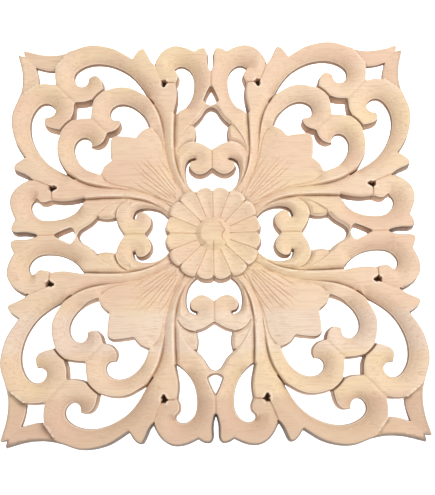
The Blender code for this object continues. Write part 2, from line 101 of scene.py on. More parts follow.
OUTLINE = (
    (SCROLL_1_ROOT, SCROLL_1_CURL),
    (SCROLL_1_TOP, BUD_EDGE, SIDE_SCROLL_FOOT),
    (BRIDGE_TOP, SIDE_SCROLL_BACK),
    (
        SIDE_EAR_BACK, SIDE_EAR_TOP, SIDE_SCROLL_TOP, STEM_EAR_BACK, STEM_EAR_TOP, BIG_SCROLL_TOP, STRUT_TOP,
        STRUT_TIP,
    ),
    (STRUT_INSIDE, BIG_SCROLL_SIDE),
    (BIG_SCROLL_FOOT, INNER_SCROLL_SIDE),
    (INNER_SCROLL_CURL, INNER_SCROLL_INSIDE, PALMETTE_LOBE, PALMETTE_TIP),
)

# The two holes that lie inside the eighth, anticlockwise from their lower tips
DROP_RIGHT = ((27.0, 93.3), (25.2, 102.0), (24.7, 109.5), (25.6, 116.4))
DROP_LOBE = ((25.6, 116.4), (23.9, 120.4), (24.2, 125.2), (26.4, 127.7))
DROP_LEFT = (
    (26.4, 127.7), (27.1, 129.8), (24.5, 132.3), (19.0, 131.6), (14.6, 127.0), (13.1, 117.0), (15.2, 106.8),
    (20.5, 98.6), (27.0, 93.3),
)
CRESCENT_FOOT = ((48.0, 107.8), (53.0, 110.9), (60.0, 114.3), (70.0, 115.2), (79.8, 112.8))
CRESCENT_CURL = ((79.8, 112.8), (80.6, 117.2), (82.2, 121.7), (86.2, 125.3), (93.4, 124.8))
CRESCENT_TOP = (
    (93.4, 124.8), (94.2, 120.5), (97.6, 118.0), (102.4, 120.6), (103.4, 126.4), (98.0, 132.3), (89.0, 135.3),
    (79.0, 134.7), (69.0, 131.0), (60.0, 124.8), (53.0, 116.4), (48.0, 107.8),
)
HOLES = ((DROP_RIGHT, DROP_LOBE, DROP_LEFT), (CRESCENT_FOOT, CRESCENT_CURL, CRESCENT_TOP))

# Lines along which the strands meet
STEM_LEFT = ((14.0, 30.0), (21.8, 41.0), (25.8, 51.5), (27.4, 62.0), (27.7, 75.0), (27.0, 93.3))
STEM_RIGHT = (
    (19.0, 27.2), (28.0, 42.0), (32.6, 54.0), (34.6, 66.0), (36.0, 80.0), (39.6, 94.0), (48.0, 107.8),
)
BUD_TOP = ((12.4, 84.0), (15.6, 82.3), (18.3, 79.6), (20.7, 76.1), (23.0, 71.8), (25.2, 66.0), (26.6, 60.0))
SCROLL_1_OUTSIDE = ((12.2, 70.8), (17.5, 69.8), (22.6, 66.8), (25.6, 62.2), (26.6, 58.6))
SCROLL_1_EYE = ((12.2, 57.0), (13.2, 57.0))
BUD_NOTCH = ((12.4, 84.0), (13.8, 83.2))
EAR_NOTCH = ((43.2, 134.3), (42.4, 132.2))
MEETING_NOTCH = ((0.0, 128.5), (0.0, 127.2))
STEM_SLOT = ((42.6, 100.0), (45.0, 103.8), (48.0, 107.8))
SIDE_SCROLL_CONTACT = ((43.2, 134.3), (40.6, 127.0), (37.3, 119.3))
LOBE_FOOT = ((25.6, 116.4), (29.2, 116.9), (32.5, 117.0))
SCROLL_CONTACT = ((79.8, 112.8), (85.4, 108.3), (89.4, 103.4))
PALMETTE_SIDE = (
    (46.9, 82.5), (42.2, 79.2), (38.4, 73.6), (35.6, 62.0), (32.0, 50.0), (26.6, 37.5), (22.0, 28.0),
)
BIG_SCROLL_MEETING = ((118.3, 118.3), (101.3, 101.3))
INNER_SCROLL_MEETING = ((91.0, 91.0), (76.8, 76.8))
STRUT_EDGE = ((106.8, 146.3), (110.2, 141.0), (113.6, 136.8), (116.4, 133.0), (118.5, 130.4))
SIDE_SCROLL_MEETING = ((0.0, 128.5), (0.0, 113.0))
SCROLL_1_MEETING = ((0.0, 65.0), (0.0, 48.0))
CORNER_MEETING = ((143.0, 143.0), (133.2, 133.2))
PIT = ((31.9, 117.0), (37.6, 120.2), (36.0, 112.0))

# Fine V cuts that fan out over the palmette, from the rosette to the lobes
VEINS = (
    ((27.0, 27.6), (38.0, 40.0), (48.0, 51.0), (56.5, 57.6)),
    ((26.4, 29.4), (36.0, 41.2), (46.0, 53.0), (52.0, 60.0)),
    ((26.6, 32.6), (33.0, 41.6), (37.0, 47.4), (42.0, 55.0)),
    ((24.4, 34.2), (28.6, 41.2), (33.0, 48.4), (41.6, 60.6)),
)


# The pitch at which curves are worked out, how closely the mesh follows them and its longest step, the same
# two for the lines that distances are measured from, and how near two points are before they are one
CURVE_PITCH = 0.25
LINE_TOLERANCE = 0.02
LONGEST_STEP = 1.5
MEASURING_TOLERANCE = 0.01
MEASURING_STEP = 4.0
SAME_POINT = 0.02
FOLD_SLACK = 0.02
NO_LENGTH = 1e-9
NO_AREA = 1e-12


def smooth(points, pitch=CURVE_PITCH):
    """A curve through the points, bending evenly: a natural cubic spline over the chord length."""
    points = np.array(points, float)
    gaps = np.linalg.norm(np.diff(points, axis=0), axis=1)
    knots = np.concatenate([[0.0], np.cumsum(gaps)])
    rises = np.diff(points, axis=0) / gaps[:, None]
    system = np.eye(len(points))
    wanted = np.zeros_like(points)
    for i in range(1, len(points) - 1):
        system[i, i - 1 : i + 2] = gaps[i - 1], 2.0 * (gaps[i - 1] + gaps[i]), gaps[i]
        wanted[i] = 6.0 * (rises[i] - rises[i - 1])
    bends = np.linalg.solve(system, wanted)
    places = np.linspace(0.0, knots[-1], max(2, round(knots[-1] / pitch) + 1))
    i = np.clip(np.searchsorted(knots, places, side="right") - 1, 0, len(gaps) - 1)
    gap = gaps[i][:, None]
    after = (places - knots[i])[:, None] / gap
    before = 1.0 - after
    bending = (before**3 - before) * bends[i] + (after**3 - after) * bends[i + 1]
    return before * points[i] + after * points[i + 1] + bending * gap**2 / 6.0


def thinned(line, tolerance=LINE_TOLERANCE, longest=LONGEST_STEP):
    """The line with only the points that hold its shape, and none further apart than the longest step."""
    chord = line[-1] - line[0]
    offset = line - line[0]
    length = max(np.linalg.norm(chord), NO_LENGTH)
    away = np.abs(chord[0] * offset[:, 1] - chord[1] * offset[:, 0]) / length
    farthest = int(np.argmax(away))
    if away[farthest] < tolerance:
        if length < longest or len(line) < 3:
            return line[[0, -1]]
        farthest = len(line) // 2
    if farthest in (0, len(line) - 1):
        return line[[0, -1]]
    first = thinned(line[: farthest + 1], tolerance, longest)
    return np.vstack([first[:-1], thinned(line[farthest:], tolerance, longest)])


def beside(line, points):
    """Each point's distance from the line, whether it lies to its left, and its share of the way along."""
    start, end = line[:-1], line[1:]
    along = end - start
    offset = points[:, None] - start[None]
    share = (offset * along).sum(-1) / np.maximum((along**2).sum(-1), NO_AREA)
    distance = np.linalg.norm(offset - np.clip(share, 0.0, 1.0)[..., None] * along, axis=-1)
    nearest = distance.argmin(axis=1)
    rows = np.arange(len(points))
    across = along[nearest, 0] * offset[rows, nearest, 1] - along[nearest, 1] * offset[rows, nearest, 0]
    return distance[rows, nearest], across > 0.0, (nearest + share[rows, nearest]) / len(along)


def inside(loop, points):
    """Whether each point is inside the closed line."""
    x, y = points[:, :1], points[:, 1:]
    x0, y0 = loop.T
    x1, y1 = np.roll(loop, -1, axis=0).T
    spans = (y0 <= y) != (y1 <= y)
    rise = np.where(y1 == y0, 1.0, y1 - y0)
    return (spans & (x < x0 + (y - y0) / rise * (x1 - x0))).sum(axis=1) % 2 == 1


def parallel(line, distance):
    """The line moved to its left by the distance, without the stretches that it would fold over."""
    ways = np.gradient(line, axis=0)
    ways /= np.linalg.norm(ways, axis=1)[:, None]
    distance = np.broadcast_to(distance, len(line))
    moved = line + distance[:, None] * np.stack([-ways[:, 1], ways[:, 0]], axis=1)
    return moved[beside(line, moved)[0] > np.abs(distance) - FOLD_SLACK]


def joined(runs):
    """Runs laid end to end, with no point twice."""
    line = np.vstack(runs)
    gaps = np.linalg.norm(np.diff(line, axis=0), axis=1)
    return line[np.concatenate([[True], gaps > SAME_POINT])]


def toward_middle(loop, share):
    loop = np.array(loop)
    return loop.mean(axis=0) + (loop - loop.mean(axis=0)) * share


def softer_least(a, b, rounding):
    """The lower of two heights, with the corner between them rounded."""
    blend = np.clip(0.5 + 0.5 * (b - a) / rounding, 0.0, 1.0)
    return b * (1.0 - blend) + a * blend - rounding * blend * (1.0 - blend)


def measuring_line(curve):
    return thinned(smooth(curve), MEASURING_TOLERANCE, MEASURING_STEP)


DISH_SHARES = (0.0, 0.14, 0.29, 0.43, 0.58, 0.72, 0.87, 1.0)


def dish(drop, reach):
    """A hollow that falls towards a line: shallow far off, and steeper close by."""
    return tuple((reach * share, drop * (1.0 - share) ** 2.0) for share in DISH_SHARES)


def vee(depth, width):
    """One side of a V cut, with its top edge eased."""
    return ((0.0, depth), (0.8 * width, 0.12 * depth), (1.25 * width, 0.0))


# The carving: each line, the cuts to its left and right as pairs of distance and depth, and whether they go
# round its ends, stop there, fade towards both, fade out towards its end or fade in from its start
FLAT = ((0.0, 0.0), (1.0, 0.0))
BROAD_VEE = ((0.0, 0.8), (0.8, 0.3), (1.9, 0.0))
SCROLL_EYE_CUT = ((0.0, 4.5), (1.2, 2.6), (8.0, 0.0))
BUD_NOTCH_CUT = ((0.0, 5.5), (0.9, 1.6), (1.8, 0.0))
CARVING = (
    (SCROLL_1_ROOT, FLAT, dish(4.8, 8.5), "round"),
    (SCROLL_1_EYE, SCROLL_EYE_CUT, SCROLL_EYE_CUT, "round"),
    (BUD_EDGE, FLAT, dish(4.0, 7.5), "stop"),
    (SIDE_SCROLL_FOOT, FLAT, ((0.0, 3.8), (3.0, 0.15), (3.6, 0.0)), "round"),
    (DROP_RIGHT, FLAT, ((0.0, 3.6), (1.9, 0.3), (2.5, 0.0)), "round"),
    (DROP_LEFT, FLAT, ((0.0, 6.8), (2.3, 4.7), (5.0, 2.6), (8.0, 0.8), (11.0, 0.0)), "fade"),
    (CRESCENT_TOP, FLAT, dish(6.4, 12.0), "round"),
    (INNER_SCROLL_INSIDE, FLAT, dish(6.4, 11.0), "fade out"),
    (STEM_LEFT, ((0.0, 3.0), (3.0, 0.9), (9.0, 0.0)), ((0.0, 3.3), (1.0, 0.55), (2.1, 0.0)), "stop"),
    (STEM_RIGHT, dish(3.4, 7.0), ((0.0, 3.4), (1.1, 0.5), (2.0, 0.0)), "stop"),
    (STEM_SLOT, ((0.0, 7.0), (0.7, 3.6), (1.6, 0.0)), ((0.0, 7.0), (0.6, 2.2), (1.4, 0.0)), "fade in"),
    (
        BUD_TOP,
        ((0.0, 1.8), (0.8, 0.3), (1.6, 0.0)),
        ((0.0, 1.8), (3.0, 1.6), (7.0, 0.6), (10.0, 0.0)),
        "stop",
    ),
    (BUD_NOTCH, BUD_NOTCH_CUT, BUD_NOTCH_CUT, "round"),
    (
        SCROLL_1_OUTSIDE,
        ((0.0, 3.2), (3.0, 1.3), (6.0, 0.3), (8.0, 0.0)),
        ((0.0, 3.2), (0.5, 0.8), (1.8, 0.0)),
        "fade out",
    ),
    (
        SIDE_SCROLL_CONTACT,
        ((0.0, 1.3), (0.5, 0.2), (1.0, 0.0)),
        ((0.0, 1.3), (2.0, 0.9), (5.0, 0.3), (8.0, 0.0)),
        "stop",
    ),
    (EAR_NOTCH, vee(4.5, 0.9), vee(4.5, 0.9), "round"),
    (LOBE_FOOT, vee(1.3, 0.7), vee(1.3, 0.7), "stop"),
    (SCROLL_CONTACT, vee(3.2, 1.1), vee(3.2, 1.1), "round"),
    (
        PALMETTE_SIDE,
        ((0.0, 2.9), (0.7, 2.0), (4.0, 1.4), (8.0, 0.8), (12.0, 0.35), (16.0, 0.1), (20.0, 0.0)),
        dish(2.9, 9.0),
        "fade in",
    ),
    (BIG_SCROLL_MEETING, BROAD_VEE, BROAD_VEE, "stop"),
    (INNER_SCROLL_MEETING, BROAD_VEE, BROAD_VEE, "stop"),
    (SIDE_SCROLL_MEETING, vee(0.9, 0.8), vee(0.9, 0.8), "stop"),
    (MEETING_NOTCH, vee(3.5, 0.9), vee(3.5, 0.9), "round"),
    (SCROLL_1_MEETING, vee(1.0, 0.9), vee(1.0, 0.9), "stop"),
    (CORNER_MEETING, vee(1.2, 0.6), vee(1.2, 0.6), "stop"),
)


# The rosette's petals, each cupped, rounded at its rim and parted from the next by a groove, and its eye
ROSETTE_HEIGHT = 12.0
ROSETTE_RADIUS = 33.0
PETALS = 16
PETAL_SWELL = 2.7
PETAL_CUP = 1.0
PETAL_DROP = 2.0
PETAL_ROUNDING = 3.0
PETAL_GROOVE = 0.95
PETAL_GROOVE_WIDTH = 0.55
PETAL_CUP_POWER = 1.3
PETAL_CUP_FULLNESS = 0.7
PETAL_CUP_REACH = 1.08
PETAL_EDGE_POWER = 2.2
RIM_STEPS = 400
RING_STEPS = 60
EYE_HEIGHT = 11.85
EYE_RADIUS = 8.6
EYE_FOOT_RADIUS = 12.3
EYE_FOOT_HEIGHT = 9.1


def rim_radius(angle):
    """The rosette's radius at an angle from the upright axis: round-ended petals with notches between."""
    return ROSETTE_RADIUS + PETAL_SWELL * np.sqrt(np.abs(np.sin(angle * PETALS / 2)))


def rim_line(start_angle, end_angle, outward=0.0):
    angle = np.linspace(start_angle, end_angle, RIM_STEPS)
    return np.stack([np.sin(angle), np.cos(angle)], axis=1) * (rim_radius(angle) + outward)[:, None]


def arc_line(radius):
    angle = np.linspace(0.0, EIGHTH_TURN, RING_STEPS)
    return radius * np.stack([np.sin(angle), np.cos(angle)], axis=1)


def petal_height(points):
    radius = np.hypot(points[:, 0], points[:, 1])
    angle = np.arctan2(points[:, 0], points[:, 1])
    rim = rim_radius(angle)
    rise = np.clip((radius - EYE_FOOT_RADIUS) / (rim - EYE_FOOT_RADIUS), 0.0, 1.0)
    across = np.abs(np.sin(angle * PETALS / 2)) ** PETAL_CUP_POWER
    cup = PETAL_CUP * across * np.sin(math.pi * np.minimum(rise * PETAL_CUP_REACH, 1.0)) ** PETAL_CUP_FULLNESS
    rounding = np.clip((radius - rim + PETAL_ROUNDING) / PETAL_ROUNDING, 0.0, 1.0)
    seam = radius * np.abs((angle * PETALS / (2 * math.pi) + 0.5) % 1.0 - 0.5) * 2 * math.pi / PETALS
    groove = PETAL_GROOVE * np.clip(1.0 - seam / PETAL_GROOVE_WIDTH, 0.0, 1.0)
    rim_drop = PETAL_DROP * rounding**PETAL_EDGE_POWER
    return EYE_FOOT_HEIGHT + (ROSETTE_HEIGHT - EYE_FOOT_HEIGHT) * rise - cup - rim_drop - groove


# How finely the rim is measured from, how close to a line counts as on it, and the shares of its length over
# which a line's cut fades at its ends
RIM_MEASURED_EVERY = 6
ON_LINE = 0.03
ON_STRUT = 0.05
FADE_BOTH = 0.1
FADE_OUT = 0.15
FADE_IN = 0.12
VEIN_FADE = 0.3
BATCH = 2500


def rim_distance(points):
    """How far each point is from the nearest sawn edge."""
    rim_end = math.atan2(*SCROLL_1_ROOT[0])
    edges = [rim_line(0.0, rim_end)[::RIM_MEASURED_EVERY]]
    for chain in (*OUTLINE, *HOLES):
        edges += [measuring_line(curve) for curve in chain]
    return np.min([beside(edge, points)[0] for edge in edges], axis=0)


def face_height(points):
    """The height over the flat back at each point of the eighth, as if the face ran on past its edges."""
    radius = np.hypot(points[:, 0], points[:, 1])
    rim = rim_radius(np.arctan2(points[:, 0], points[:, 1]))
    depth = np.interp(radius - rim, (0.0, MOAT_WIDTH), (MOAT_DEPTH, 0.0))
    for curve, left_cut, right_cut, ends in CARVING:
        distance, left, along = beside(measuring_line(curve), points)
        cut = np.where(left, np.interp(distance, *zip(*left_cut)), np.interp(distance, *zip(*right_cut)))
        cut = np.where(distance < ON_LINE, max(left_cut[0][1], right_cut[0][1]), cut)
        if ends == "stop":
            cut = np.where((along < 0.0) | (along > 1.0), 0.0, cut)
        elif ends == "fade":
            cut = cut * np.clip(np.minimum(along, 1.0 - along) / FADE_BOTH, 0.0, 1.0)
        elif ends == "fade out":
            cut = cut * np.clip((1.0 - along) / FADE_OUT, 0.0, 1.0)
        elif ends == "fade in":
            cut = np.where(along > 1.0, 0.0, cut * np.clip(along / FADE_IN, 0.0, 1.0))
        depth = np.maximum(depth, cut)
    for vein in VEINS:
        distance, _, along = beside(smooth(vein), points)
        fade = np.where(along < 0.0, 0.0, np.clip((1.0 - along) / VEIN_FADE, 0.0, 1.0))
        depth += VEIN_DEPTH * fade * np.clip(1.0 - distance / VEIN_WIDTH, 0.0, 1.0)
    height = SCROLL_HEIGHT - depth

    step, left, _ = beside(smooth(STRUT_EDGE), points)
    strut = left & (points[:, 0] > STRUT_EDGE[0][0]) & (points[:, 1] > STRUT_EDGE[-1][1] - ON_STRUT)
    strut_top = STRUT_HEIGHT - STRUT_FALL_ALONG * (points[:, 0] - STRUT_EDGE[0][0])
    strut_top = strut_top - STRUT_FALL_ACROSS * (STRUT_EDGE[0][1] - points[:, 1])
    strut_top = np.minimum(strut_top, SCROLL_HEIGHT - STRUT_BELOW_SCROLL)
    height = np.where(strut & (step > STEP_WIDTH / 2), strut_top, height)
    line_drop = np.interp(step, (0.0, STRUT_LINE_WIDTH), (STRUT_LINE_DROP, 0.0))
    height = height - np.where(strut, 0.0, line_drop)
    in_pit = inside(toward_middle(PIT, PIT_FLOOR_SHARE * PIT_FLOOR_MARGIN), points)
    height = np.where(in_pit, PIT_HEIGHT, height)
    return np.where(radius < rim + STEP_WIDTH / 2, petal_height(points), height)


def in_batches(work, points):
    """The work's result for every point, a batch of points at a time to spare memory."""
    return np.concatenate([work(part) for part in np.array_split(points, 1 + len(points) // BATCH)])


# The walls lean in from the back, and the edge along their top is broken by a narrow chamfer
WALL_FOOT = 0.5
WALL_RISE = 6.9
CHAMFER_DROP = 0.55
CHAMFER_WIDTH = 1.0
EDGE_ROUNDING = 0.1
LEAST_WALL_REACH = 0.15
MOST_WALL_REACH = 1.7
WALL_LOOK_PAST = 0.2


def wall_reach(face):
    """How far the leaning wall comes in from the sawn edge before it meets a face of this height."""
    return np.clip((face - CHAMFER_DROP - WALL_FOOT) / WALL_RISE, LEAST_WALL_REACH, MOST_WALL_REACH)


def carved_height(points):
    """The face's height with the sawn walls and their chamfers along every edge."""
    face = face_height(points)
    from_edge = rim_distance(points)
    near_edge = np.clip(1.0 - (from_edge - wall_reach(face)) / CHAMFER_WIDTH, 0.0, 1.0)
    chamfered = face - CHAMFER_DROP * near_edge
    return softer_least(chamfered, WALL_FOOT + WALL_RISE * from_edge, EDGE_ROUNDING)


def wall_tops(line):
    """The two edges of the chamfer to the right of a sawn edge, from two looks at the face beside it."""
    reach = CHAMFER_WIDTH
    for _ in range(2):
        ways = np.gradient(line, axis=0)
        ways /= np.linalg.norm(ways, axis=1)[:, None]
        inner = line - (reach + WALL_LOOK_PAST) * np.stack([-ways[:, 1], ways[:, 0]], axis=1)
        reach = wall_reach(in_batches(face_height, inner))[:, None]
    reach = reach[:, 0]
    return [parallel(line, -reach), parallel(line, -(reach + CHAMFER_WIDTH))]


# The pitch and clearance of the points between the lines, how far off a line the crests of its cut are kept
# as edges, and how small a triangle is before it is dropped
HALF_WIDTH = 150.0
FILL_PITCH = 1.45
FILL_CLEARANCE = 0.62
EYE_PITCH = 0.42
CREST_REACH = 3.7
PETAL_EDGE_SHARES = (0.45, 1.0)
SEAM_STEPS = 40
SHORT_OF_RIM = 0.01
FLAT_TRIANGLE = 1e-7


def stepped(loop, longest):
    """The closed line with points added wherever two of them are further apart than the longest step."""
    filled = []
    for start, end in zip(loop, np.roll(loop, -1, axis=0)):
        steps = max(1, math.ceil(np.linalg.norm(end - start) / longest))
        filled.append(start + (end - start) * np.arange(steps)[:, None] / steps)
    return np.vstack(filled)


def drawn_lines():
    """The outline of one eighth, its holes, and the lines that its mesh keeps between them."""
    rim_end = math.atan2(*SCROLL_1_ROOT[0])
    edge = [np.zeros((1, 2)), thinned(rim_line(0.0, rim_end))]
    for chain in OUTLINE:
        edge += [thinned(smooth(curve)) for curve in chain]
    outline = stepped(joined(edge), FILL_PITCH)
    holes = [joined([thinned(smooth(curve)) for curve in chain])[:-1] for chain in HOLES]

    kept = [rim_line(rim_end, EIGHTH_TURN), rim_line(rim_end, EIGHTH_TURN, STEP_WIDTH)]
    kept += [rim_line(0.0, EIGHTH_TURN, -share * PETAL_ROUNDING) for share in PETAL_EDGE_SHARES]
    kept += wall_tops(rim_line(0.0, rim_end))
    for notch in range(PETALS // REPEATS + 1):
        half = 2 * math.pi / PETALS * notch
        way = np.array([math.sin(half), math.cos(half)])
        side = np.array([way[1], -way[0]])
        reach = np.linspace(EYE_FOOT_RADIUS, rim_radius(half) - SHORT_OF_RIM, SEAM_STEPS)[:, None]
        kept.append(way * reach)
        if notch:
            kept.append(way * reach - side * PETAL_GROOVE_WIDTH)
        if notch < PETALS // REPEATS:
            kept.append(way * reach + side * PETAL_GROOVE_WIDTH)
    eye_rings = (EYE_RADIUS, 0.5 * (EYE_RADIUS + EYE_FOOT_RADIUS), EYE_FOOT_RADIUS)
    kept += [arc_line(radius) for radius in eye_rings]
    strut_edge = smooth(STRUT_EDGE)
    kept += [strut_edge, parallel(strut_edge, STEP_WIDTH), parallel(strut_edge, -STRUT_LINE_WIDTH)]
    for share in (1.0, PIT_FLOOR_SHARE):
        corners = toward_middle(PIT, share)
        kept.append(np.vstack([corners, corners[:1]]))
    for chain in (*OUTLINE, *HOLES):
        for curve in chain:
            kept += wall_tops(smooth(curve))
    for curve, left_cut, right_cut, _ in CARVING:
        line = smooth(curve)
        kept.append(line)
        for side, cut in ((1, left_cut), (-1, right_cut)):
            if cut != FLAT:
                kept += [parallel(line, side * reach) for reach, _ in cut[1:] if reach < CREST_REACH]
    for vein in VEINS:
        line = smooth(vein)
        kept += [line, parallel(line, VEIN_WIDTH), parallel(line, -VEIN_WIDTH)]
    return outline, holes, [thinned(line) for line in kept if len(line) > 1]


def fill_points(outline, holes, kept, pitch, clearance):
    """Points on a staggered grid, inside the outline and clear of every line."""
    across = np.arange(0.0, HALF_WIDTH + 1.0, pitch)
    up = np.arange(0.0, HALF_WIDTH + 1.0, pitch * math.sqrt(0.75))
    x, y = np.meshgrid(across, up)
    x[1::2] += 0.5 * pitch
    points = np.stack([x.ravel(), y.ravel()], axis=1)
    points = points[points[:, 0] < points[:, 1]]
    points = points[inside(outline, points)]
    for hole in holes:
        points = points[~inside(hole, points)]
    closed = [np.vstack([line, line[:1]]) for line in (outline, *holes)]
    for line in (*closed, *kept):
        near = ((points > line.min(axis=0) - clearance) & (points < line.max(axis=0) + clearance)).all(axis=1)
        drop = np.zeros(len(points), bool)
        drop[near] = beside(line, points[near])[0] < clearance if near.any() else False
        points = points[~drop]
    return points


def triangulated(outline, holes, lines, loose):
    """The points and triangles of the outline less its holes, with every line kept as edges."""
    points = []
    edges = []
    loops = [(line, True) for line in (outline, *holes)]
    for line, closed in (*loops, *((line, False) for line in lines)):
        first = len(points)
        points += [tuple(p) for p in line]
        edges += [(first + i, first + i + 1) for i in range(len(line) - 1)]
        if closed:
            edges.append((first + len(line) - 1, first))
    points += [tuple(p) for p in loose]
    found, _, faces, _, _, _ = delaunay_2d_cdt(points, edges, [], 0, SAME_POINT)
    found = np.array([tuple(p) for p in found])
    faces = np.array(faces)
    middles = found[faces].mean(axis=1)
    wanted = inside(outline, middles)
    for hole in holes:
        wanted &= ~inside(hole, middles)
    a, b, c = (found[faces[:, i]] for i in range(3))
    turn = (b[:, 0] - a[:, 0]) * (c[:, 1] - a[:, 1]) - (b[:, 1] - a[:, 1]) * (c[:, 0] - a[:, 0])
    faces[turn < 0.0] = faces[turn < 0.0][:, ::-1]
    return found, faces[wanted & (np.abs(turn) > FLAT_TRIANGLE)]


outline, holes, kept = drawn_lines()
loose = fill_points(outline, holes, kept, FILL_PITCH, FILL_CLEARANCE)
finer = fill_points(outline, holes, kept, EYE_PITCH, 0.5 * EYE_PITCH)
in_eye = np.hypot(finer[:, 0], finer[:, 1]) < EYE_FOOT_RADIUS
loose = np.vstack([loose[np.hypot(loose[:, 0], loose[:, 1]) > EYE_FOOT_RADIUS], finer[in_eye]])
flat_points, flat_faces = triangulated(outline, holes, kept, loose)

# A painted shadow darkens the panel's outer edge, most along the bottom, and not at all along the top
EDGE_SHADOW_WIDTH = 2.3
EDGE_SHADOW_FADE = 0.8
EDGE_SHADOW_AT_SIDES = 0.4
EDGE_SHADOW_PITCH = 1.0

flat_heights = in_batches(carved_height, flat_points)
flat_faces_alone = in_batches(face_height, flat_points)
# How near each point is to an arris, for the painted highlight along it and the painted shade just under it
from_arris = np.abs(rim_distance(flat_points) - wall_reach(flat_faces_alone))
flat_near_arris = np.clip(1.0 - from_arris / CHAMFER_WIDTH, 0.0, 1.0)
outer_lines = [smooth(curve, EDGE_SHADOW_PITCH) for curve in OUTLINE[3]]
from_outside = np.min([beside(line, flat_points)[0] for line in outer_lines], axis=0)
flat_painted_edge_shadow = np.clip((EDGE_SHADOW_WIDTH - from_outside) / EDGE_SHADOW_FADE, 0.0, 1.0)

# The walls hang from the edges that only one triangle has, and the back is filled in between their feet.
# Nothing stands on the two mirror lines, where the copies meet
ON_MIRROR = 1e-3
BACK_MERGE = 1e-6

rim_edges = {}
for face in flat_faces.tolist():
    for a, b in zip(face, (*face[1:], face[0])):
        if (b, a) in rim_edges:
            del rim_edges[(b, a)]
        else:
            rim_edges[(a, b)] = True
on_axis = flat_points[:, 0] < ON_MIRROR
on_diagonal = np.abs(flat_points[:, 0] - flat_points[:, 1]) < ON_MIRROR
walls = [
    (a, b)
    for a, b in rim_edges
    if not (on_axis[a] and on_axis[b]) and not (on_diagonal[a] and on_diagonal[b])
]
rim_names = sorted({i for edge in rim_edges for i in edge})
rim_order = {name: i for i, name in enumerate(rim_names)}
rim_points = flat_points[rim_names]
back_edges = [(rim_order[a], rim_order[b]) for a, b in rim_edges]
back_found, _, back_faces, origins, _, _ = delaunay_2d_cdt(
    [tuple(p) for p in rim_points], back_edges, [], 0, BACK_MERGE
)
back_corners = np.array([[tuple(back_found[i]) for i in face] for face in back_faces])
flat_on_axis = (back_corners[..., 0] < ON_MIRROR).all(axis=1)
flat_on_diagonal = (np.abs(back_corners[..., 0] - back_corners[..., 1]) < ON_MIRROR).all(axis=1)
back_middles = back_corners.mean(axis=1)
wanted = inside(outline, back_middles) & ~flat_on_axis & ~flat_on_diagonal
for hole in holes:
    wanted &= ~inside(hole, back_middles)
back_faces = [
    [len(flat_points) + origins[i][0] for i in face] for face, keep in zip(back_faces, wanted) if keep
]

front = np.column_stack([flat_points[:, 0], -flat_heights, flat_points[:, 1]])
back = np.column_stack([rim_points[:, 0], np.zeros(len(rim_points)), rim_points[:, 1]])
eighth = np.vstack([front, back])
eighth_faces = [tuple(face) for face in flat_faces.tolist()]
for a, b in walls:
    lower_a, lower_b = len(flat_points) + rim_order[a], len(flat_points) + rim_order[b]
    eighth_faces += [(b, a, lower_a), (b, lower_a, lower_b)]
for face in back_faces:
    a, b, c = (eighth[i] for i in face)
    turn = (b[0] - a[0]) * (c[2] - a[2]) - (b[2] - a[2]) * (c[0] - a[0])
    eighth_faces.append(tuple(face) if turn < 0.0 else tuple(reversed(face)))

# Eight turned and mirrored copies of the eighth make the whole panel, and points that meet become one
WELD = 2e-3

points = []
faces = []
for quarter in range(4):
    for mirrored in (False, True):
        copy = eighth[:, [2, 1, 0]] if mirrored else eighth
        for _ in range(quarter):
            copy = np.column_stack([copy[:, 2], copy[:, 1], -copy[:, 0]])
        first = len(points) * len(eighth)
        points.append(copy)
        order = (0, 2, 1) if mirrored else (0, 1, 2)
        faces.append(np.array(eighth_faces)[:, order] + first)
copies = len(points)
points = np.vstack(points)
faces = np.vstack(faces)
grid = np.round(points / WELD).astype(int)
_, first, index = np.unique(grid, axis=0, return_index=True, return_inverse=True)
points = points[first]
near_arris, face_level, painted_edge_shadow = (
    np.tile(np.concatenate([values, np.zeros(len(back))]), copies)[first]
    for values in (flat_near_arris, flat_faces_alone, flat_painted_edge_shadow)
)
faces = index.reshape(-1)[faces]
whole = (faces[:, 0] != faces[:, 1]) & (faces[:, 1] != faces[:, 2]) & (faces[:, 0] != faces[:, 2])
faces = faces[whole]

# The eye of the rosette is cut by hand: a button with an uneven top, sloping sides, stray notches and
# a rim that has broken away on the right. Angles run clockwise from the top, in degrees
EYE_TOP_EDGE = (
    (-180.0, 8.2), (-140.0, 8.8), (-90.0, 8.9), (-40.0, 8.6), (0.0, 8.0), (37.0, 8.9), (55.0, 7.3),
    (77.0, 8.4), (95.0, 6.3), (117.0, 6.6), (128.0, 9.4), (150.0, 8.4), (180.0, 8.2),
)
EYE_NOTCHES = ((180.0, 5.4, 1.2), (-138.0, 7.6, 1.2), (-92.0, 8.6, 0.9), (130.0, 8.0, 0.9), (-7.0, 7.4, 0.8))
NOTCH_WIDTH = 0.7
NOTCH_EASE = 1.5
EYE_HOLLOW = 0.35
EYE_BROKEN_FROM = 20.0
EYE_BROKEN_TO = 132.0
EYE_BROKEN_EASE = 8.0
EYE_BROKEN_STEP = 0.35
EYE_CRACK_DEPTH = 1.5
EYE_CRACK_WIDTH = 0.55

x, height, z = points[:, 0].copy(), -points[:, 1], points[:, 2].copy()
